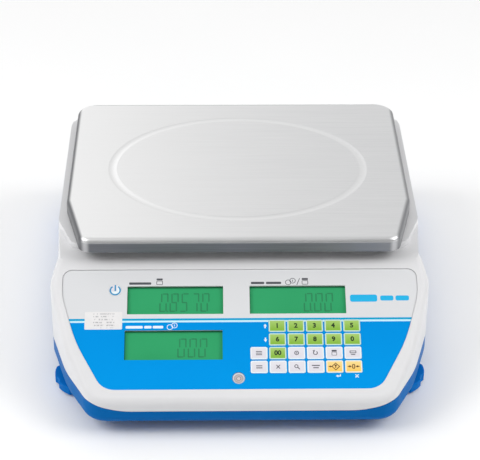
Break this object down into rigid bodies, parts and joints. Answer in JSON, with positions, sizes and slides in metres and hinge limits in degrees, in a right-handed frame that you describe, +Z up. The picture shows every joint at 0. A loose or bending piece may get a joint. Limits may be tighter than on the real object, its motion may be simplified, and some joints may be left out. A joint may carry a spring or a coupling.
{
  "type": "retail price scale",
  "caption": "Counter price scale with a lift-off steel pan, sloping keypad console, operator and customer displays, and screw feet.",
  "frame": {"origin": "on the resting surface, under the centre of the overall box", "axes": "+Z up, -Y towards the operator's keypad, +X to the operator's right"},
  "size_m": [0.315, 0.355, 0.11],
  "materials": {
    "case_light": "fine moulded texture, off-white grey",
    "base_blue": "fine moulded texture, mid blue",
    "operator_print": "printed film, grey above, cyan line, blue below",
    "customer_print": "printed film, blue",
    "display_glass": "backlit green display behind glass",
    "circuit_board": "solder mask",
    "contact_sheet": "translucent film with snap domes",
    "cast_aluminium": "as cast",
    "cell_aluminium": "machined",
    "zinc_steel": "bright zinc plate",
    "pan_steel": "fine brushed across the width",
    "battery_case": "dark battery case",
    "connector_black": "black moulding",
    "connector_steel": "tin plated shell",
    "vial": "clear cup with tinted fluid",
    "insert_brass": "turned",
    "rubber_black": "matt",
    "foot_blue": "moulded, darker blue",
    "key_green": "printed key, light border",
    "key_white": "printed key, light border",
    "key_yellow": "printed key, light border",
    "key_grey": "printed round key"
  },
  "bodies": {
    "root": {"base_shell": "base_blue", "battery_door": "base_blue", "upper_housing": "case_light", "front_overlay": "operator_print", "rear_overlay": "customer_print", "lcd_weight": "display_glass", "lcd_unit_price": "display_glass", "lcd_total_price": "display_glass", "rear_lcd_modules": "display_glass", "front_display_board": "circuit_board", "keypad_board": "circuit_board", "rear_display_board": "circuit_board", "main_board": "circuit_board", "keypad_membrane": "contact_sheet", "load_cell": "cell_aluminium", "load_cell_spacer": "cell_aluminium", "base_cell_bolts": "zinc_steel", "overload_stops": "zinc_steel", "case_screws": "zinc_steel", "battery": "battery_case", "power_inlet": "connector_black", "serial_connector": "connector_steel", "level_vial": "vial", "foot_inserts": "insert_brass"},
    "platform": {"sub_platform": "cast_aluminium", "platform_pads": "rubber_black", "platform_cell_bolts": "zinc_steel"},
    "pan": {"weighing_pan": "pan_steel"},
    "key_1": {"key_1": "key_green"},
    "key_2": {"key_2": "key_green"},
    "key_3": {"key_3": "key_green"},
    "key_4": {"key_4": "key_green"},
    "key_5": {"key_5": "key_green"},
    "key_6": {"key_6": "key_green"},
    "key_7": {"key_7": "key_green"},
    "key_8": {"key_8": "key_green"},
    "key_9": {"key_9": "key_green"},
    "key_0": {"key_0": "key_green"},
    "key_channel": {"key_channel": "key_white"},
    "key_double_zero": {"key_double_zero": "key_green"},
    "key_setup": {"key_setup": "key_white"},
    "key_recall": {"key_recall": "key_white"},
    "key_unit": {"key_unit": "key_white"},
    "key_print": {"key_print": "key_white"},
    "key_total": {"key_total": "key_white"},
    "key_clear_entry": {"key_clear_entry": "key_white"},
    "key_lookup": {"key_lookup": "key_white"},
    "key_auto_clear": {"key_auto_clear": "key_white"},
    "key_tare": {"key_tare": "key_yellow"},
    "key_zero": {"key_zero": "key_yellow"},
    "key_power": {"key_power": "key_grey"},
    "sole_front_left": {"foot_sole_front_left": "rubber_black"},
    "knob_front_left": {"foot_knob_front_left": "foot_blue"},
    "sole_front_right": {"foot_sole_front_right": "rubber_black"},
    "knob_front_right": {"foot_knob_front_right": "foot_blue"},
    "sole_rear_left": {"foot_sole_rear_left": "rubber_black"},
    "knob_rear_left": {"foot_knob_rear_left": "foot_blue"},
    "sole_rear_right": {"foot_sole_rear_right": "rubber_black"},
    "knob_rear_right": {"foot_knob_rear_right": "foot_blue"}
  },
  "joints": [
    {"name": "platform_deflect", "type": "slide", "parent": "root", "child": "platform", "axis": [0, 0, -1], "range_m": [0, 0.0004], "stiffness_N_per_m": 200000, "springref_m": -0.00005},
    {"name": "pan_lift", "type": "slide", "parent": "platform", "child": "pan", "axis": [0, 0, 1], "range_m": [0, 0.03]},
    {"name": "key_1_press", "type": "slide", "parent": "root", "child": "key_1", "axis": [0, 0.4695, -0.8829], "range_m": [0, 0.0004], "stiffness_N_per_m": 1500, "springref_m": -0.0002},
    {"name": "key_2_press", "type": "slide", "parent": "root", "child": "key_2", "axis": [0, 0.4695, -0.8829], "range_m": [0, 0.0004], "stiffness_N_per_m": 1500, "springref_m": -0.0002},
    {"name": "key_3_press", "type": "slide", "parent": "root", "child": "key_3", "axis": [0, 0.4695, -0.8829], "range_m": [0, 0.0004], "stiffness_N_per_m": 1500, "springref_m": -0.0002},
    {"name": "key_4_press", "type": "slide", "parent": "root", "child": "key_4", "axis": [0, 0.4695, -0.8829], "range_m": [0, 0.0004], "stiffness_N_per_m": 1500, "springref_m": -0.0002},
    {"name": "key_5_press", "type": "slide", "parent": "root", "child": "key_5", "axis": [0, 0.4695, -0.8829], "range_m": [0, 0.0004], "stiffness_N_per_m": 1500, "springref_m": -0.0002},
    {"name": "key_6_press", "type": "slide", "parent": "root", "child": "key_6", "axis": [0, 0.4695, -0.8829], "range_m": [0, 0.0004], "stiffness_N_per_m": 1500, "springref_m": -0.0002},
    {"name": "key_7_press", "type": "slide", "parent": "root", "child": "key_7", "axis": [0, 0.4695, -0.8829], "range_m": [0, 0.0004], "stiffness_N_per_m": 1500, "springref_m": -0.0002},
    {"name": "key_8_press", "type": "slide", "parent": "root", "child": "key_8", "axis": [0, 0.4695, -0.8829], "range_m": [0, 0.0004], "stiffness_N_per_m": 1500, "springref_m": -0.0002},
    {"name": "key_9_press", "type": "slide", "parent": "root", "child": "key_9", "axis": [0, 0.4695, -0.8829], "range_m": [0, 0.0004], "stiffness_N_per_m": 1500, "springref_m": -0.0002},
    {"name": "key_0_press", "type": "slide", "parent": "root", "child": "key_0", "axis": [0, 0.4695, -0.8829], "range_m": [0, 0.0004], "stiffness_N_per_m": 1500, "springref_m": -0.0002},
    {"name": "key_channel_press", "type": "slide", "parent": "root", "child": "key_channel", "axis": [0, 0.4695, -0.8829], "range_m": [0, 0.0004], "stiffness_N_per_m": 1500, "springref_m": -0.0002},
    {"name": "key_double_zero_press", "type": "slide", "parent": "root", "child": "key_double_zero", "axis": [0, 0.4695, -0.8829], "range_m": [0, 0.0004], "stiffness_N_per_m": 1500, "springref_m": -0.0002},
    {"name": "key_setup_press", "type": "slide", "parent": "root", "child": "key_setup", "axis": [0, 0.4695, -0.8829], "range_m": [0, 0.0004], "stiffness_N_per_m": 1500, "springref_m": -0.0002},
    {"name": "key_recall_press", "type": "slide", "parent": "root", "child": "key_recall", "axis": [0, 0.4695, -0.8829], "range_m": [0, 0.0004], "stiffness_N_per_m": 1500, "springref_m": -0.0002},
    {"name": "key_unit_press", "type": "slide", "parent": "root", "child": "key_unit", "axis": [0, 0.4695, -0.8829], "range_m": [0, 0.0004], "stiffness_N_per_m": 1500, "springref_m": -0.0002},
    {"name": "key_print_press", "type": "slide", "parent": "root", "child": "key_print", "axis": [0, 0.4695, -0.8829], "range_m": [0, 0.0004], "stiffness_N_per_m": 1500, "springref_m": -0.0002},
    {"name": "key_total_press", "type": "slide", "parent": "root", "child": "key_total", "axis": [0, 0.4695, -0.8829], "range_m": [0, 0.0004], "stiffness_N_per_m": 1500, "springref_m": -0.0002},
    {"name": "key_clear_entry_press", "type": "slide", "parent": "root", "child": "key_clear_entry", "axis": [0, 0.4695, -0.8829], "range_m": [0, 0.0004], "stiffness_N_per_m": 1500, "springref_m": -0.0002},
    {"name": "key_lookup_press", "type": "slide", "parent": "root", "child": "key_lookup", "axis": [0, 0.4695, -0.8829], "range_m": [0, 0.0004], "stiffness_N_per_m": 1500, "springref_m": -0.0002},
    {"name": "key_auto_clear_press", "type": "slide", "parent": "root", "child": "key_auto_clear", "axis": [0, 0.4695, -0.8829], "range_m": [0, 0.0004], "stiffness_N_per_m": 1500, "springref_m": -0.0002},
    {"name": "key_tare_press", "type": "slide", "parent": "root", "child": "key_tare", "axis": [0, 0.4695, -0.8829], "range_m": [0, 0.0004], "stiffness_N_per_m": 1500, "springref_m": -0.0002},
    {"name": "key_zero_press", "type": "slide", "parent": "root", "child": "key_zero", "axis": [0, 0.4695, -0.8829], "range_m": [0, 0.0004], "stiffness_N_per_m": 1500, "springref_m": -0.0002},
    {"name": "key_power_press", "type": "slide", "parent": "root", "child": "key_power", "axis": [0, 0.4695, -0.8829], "range_m": [0, 0.0004], "stiffness_N_per_m": 1500, "springref_m": -0.0002},
    {"name": "foot_front_left_extend", "type": "slide", "parent": "root", "child": "sole_front_left", "axis": [0, 0, -1], "range_m": [0, 0.006]},
    {"name": "foot_front_left_turn", "type": "hinge", "parent": "sole_front_left", "child": "knob_front_left", "pos_m": [-0.1188, -0.107, 0.005], "axis": [0, 0, -1], "range_deg": [0, 1720]},
    {"name": "foot_front_right_extend", "type": "slide", "parent": "root", "child": "sole_front_right", "axis": [0, 0, -1], "range_m": [0, 0.006]},
    {"name": "foot_front_right_turn", "type": "hinge", "parent": "sole_front_right", "child": "knob_front_right", "pos_m": [0.1188, -0.107, 0.005], "axis": [0, 0, -1], "range_deg": [0, 1720]},
    {"name": "foot_rear_left_extend", "type": "slide", "parent": "root", "child": "sole_rear_left", "axis": [0, 0, -1], "range_m": [0, 0.006]},
    {"name": "foot_rear_left_turn", "type": "hinge", "parent": "sole_rear_left", "child": "knob_rear_left", "pos_m": [-0.1315, 0.12, 0.005], "axis": [0, 0, -1], "range_deg": [0, 1720]},
    {"name": "foot_rear_right_extend", "type": "slide", "parent": "root", "child": "sole_rear_right", "axis": [0, 0, -1], "range_m": [0, 0.006]},
    {"name": "foot_rear_right_turn", "type": "hinge", "parent": "sole_rear_right", "child": "knob_rear_right", "pos_m": [0.1315, 0.12, 0.005], "axis": [0, 0, -1], "range_deg": [0, 1720]}
  ],
  "couplings": [
    {"joint": "foot_front_left_extend", "follows": "foot_front_left_turn", "m_per_rad": 0.00019894},
    {"joint": "foot_front_right_extend", "follows": "foot_front_right_turn", "m_per_rad": 0.00019894},
    {"joint": "foot_rear_left_extend", "follows": "foot_rear_left_turn", "m_per_rad": 0.00019894},
    {"joint": "foot_rear_right_extend", "follows": "foot_rear_right_turn", "m_per_rad": 0.00019894}
  ]
}
